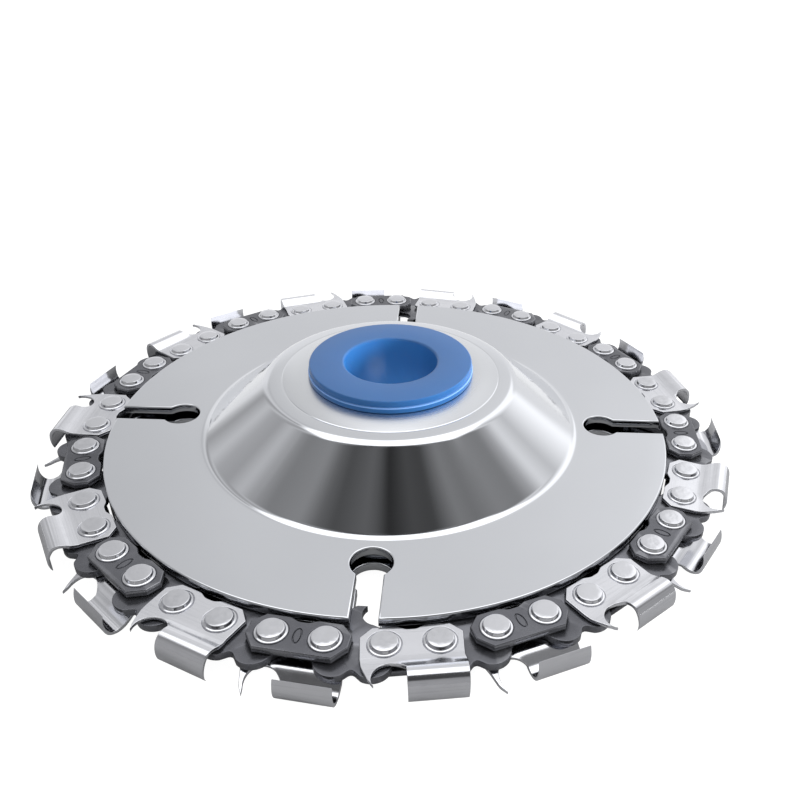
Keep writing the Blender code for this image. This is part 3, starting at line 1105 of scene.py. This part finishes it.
studio = {
    "cameraAt": (9.660, -108.242, 73.452),       # mm
    "cameraTurn": (56.190, -1.824, 0.1835),      # degrees
    "lens": 37.588,
    "shift": (-0.0839, 0.0470),
    "floorAt": -0.36,                            # mm, just under the lower teeth
    "floorSeen": 0.95,                           # glow the camera sees, and the part sees
    "floorGlow": 0.10,
    "backGlow": 0.80,                            # behind the part, where the flat floor glows brighter in place of a lit sweep
    "backFrom": (20, 60),                        # mm behind the axis, where that starts and is full
    "overhead": 1.95,
    "farBand": 1.05,
    "nearBand": 0.42,
    "keyPower": 2.0,
    "fillPower": 0.36,
    "borePower": 0.0011,
}


def makeCamera():
    camera = bpy.data.cameras.new("camera")
    camera.lens = studio["lens"]
    camera.sensor_width = 36.0
    camera.shift_x, camera.shift_y = studio["shift"]
    camera.clip_start = 0.001
    camera.clip_end = 20.0
    piece = bpy.data.objects.new("camera", camera)
    piece.location = [value * mm for value in studio["cameraAt"]]
    piece.rotation_euler = [radians(value) for value in studio["cameraTurn"]]
    bpy.context.scene.collection.objects.link(piece)
    bpy.context.scene.camera = piece


def makeFloor():
    # back-lit white acrylic, so that no shadow shows; the part sees far less of its glow
    material, tree, shader = newMaterial("floorAcrylic")
    shader["Base Color"].default_value = linearColour("#8a8a8a")
    shader["Roughness"].default_value = 0.9
    shader["Specular IOR Level"].default_value = 0.0
    shader["Emission Color"].default_value = (1, 1, 1, 1)
    deep = addNode(tree, "ShaderNodeSeparateXYZ", {0: objectPlace(tree)}).outputs["Y"]
    start, full = studio["backFrom"]
    behind = makeMask(tree, deep, start * mm, full * mm)
    reflected = mapRange(tree, behind, 0.0, 1.0, studio["floorGlow"], studio["backGlow"])
    seen = addNode(tree, "ShaderNodeLightPath").outputs["Is Camera Ray"]
    glow = mapRange(tree, seen, 0.0, 1.0, reflected, studio["floorSeen"])
    tree.links.new(glow, shader["Emission Strength"])
    mesh = bpy.data.meshes.new("floor")
    mesh.from_pydata([(-3, -3, 0), (3, -3, 0), (3, 3, 0), (-3, 3, 0)], [], [(0, 1, 2, 3)])
    mesh.materials.append(material)
    floor = addObject("floor", mesh)
    floor.location.z = studio["floorAt"] * mm


def grey(value):
    return (value, value, value * 1.01, 1.0)


# Each cloth's turn, anticlockwise from the part's left, and its brightness. The near side comes
# first (0.25 is behind the camera), then the right, the far side and the left.
clothShades = [
    (0.0, 0.40), (0.02, 0.29), (0.07, 0.35), (0.10, 0.17), (0.13, 0.10), (0.195, 0.16),
    (0.22, 0.12), (0.25, 0.03), (0.31, 0.09), (0.36, 0.07), (0.41, 0.28), (0.44, 0.23),
    (0.48, 0.32), (0.515, 0.28), (0.535, 0.52), (0.553, 1.04), (0.578, 0.75), (0.60, 1.1),
    (0.635, 1.6), (0.69, 1.5), (0.705, 1.0), (0.75, 0.88), (0.80, 0.85), (0.835, 0.70),
    (0.866, 0.91), (0.885, 0.46), (0.912, 0.76), (0.93, 0.55), (0.953, 0.48), (0.975, 0.69),
    (0.993, 0.49),
]


def makeRoom():
    # a tent of hanging cloths, told apart by compass direction: white strips to the right, darker
    # folds on the camera's side; over them a white ceiling panel that ends above the hub
    world = bpy.data.worlds.new("studioTent")
    world.use_nodes = True
    tree = world.node_tree
    tree.nodes.clear()
    way = addNode(tree, "ShaderNodeTexCoord").outputs["Generated"]
    x, y, z = addNode(tree, "ShaderNodeSeparateXYZ", {0: way}).outputs
    level = addNode(tree, "ShaderNodeCombineXYZ", {"X": x, "Y": y})
    compass = addNode(tree, "ShaderNodeTexGradient", {0: level.outputs[0]}, gradient_type="RADIAL")
    cloths = addNode(tree, "ShaderNodeValToRGB", {0: compass.outputs["Fac"]})
    setRamp(cloths, [(turn, grey(value)) for turn, value in clothShades])
    sideways = calculate(tree, "ABSOLUTE", x)
    ceiling = multiplied(
        tree,
        makeMask(tree, z, 0.75, 0.82), makeMask(tree, y, -0.14, -0.04), makeMask(tree, sideways, 0.62, 0.48),
    )
    farLow = multiplied(tree, makeMask(tree, z, 0.45, 0.33), makeMask(tree, y, 0.70, 0.80))
    nearLow = multiplied(tree, makeMask(tree, z, 0.66, 0.52), makeMask(tree, y, 0.10, -0.05))
    seen = mixColours(tree, farLow, cloths.outputs["Color"], grey(studio["farBand"]))
    seen = mixColours(tree, nearLow, seen, grey(studio["nearBand"]))
    seen = mixColours(tree, ceiling, seen, grey(studio["overhead"]))
    path = addNode(tree, "ShaderNodeLightPath")
    final = mixColours(tree, path.outputs["Is Camera Ray"], seen, grey(1.0))
    light = addNode(tree, "ShaderNodeBackground", {"Color": final, "Strength": 1.0})
    addNode(tree, "ShaderNodeOutputWorld", {"Surface": light.outputs[0]})
    bpy.context.scene.world = world


def addPanel(name, location, aim, size, power):
    # a soft panel that only lights; it never shows in the metal
    light = bpy.data.lights.new(name, "AREA")
    light.shape = "RECTANGLE"
    light.size, light.size_y = size
    light.energy = power
    panel = bpy.data.objects.new(name, light)
    panel.location = location
    panel.rotation_euler = (Vector(aim) - panel.location).to_track_quat("-Z", "Y").to_euler()
    panel.visible_glossy = False
    panel.visible_camera = False
    bpy.context.scene.collection.objects.link(panel)


def makeLights():
    # from the right over the hub, from the front, and on the left wall of the bore
    hub = (0, 0, 0.012)
    boreWall = (-0.007, 0.002, 0.012)
    addPanel("keyPanel", (0.30, -0.03, 0.075), hub, (0.16, 0.12), studio["keyPower"])
    addPanel("fillPanel", (-0.04, -0.30, 0.06), hub, (0.16, 0.12), studio["fillPower"])
    addPanel("borePanel", (0.004, -0.001, 0.004), boreWall, (0.004, 0.004), studio["borePower"])


print("studio")
makeCamera()
makeFloor()
makeRoom()
makeLights()
bpy.context.scene.view_settings.view_transform = "Standard"
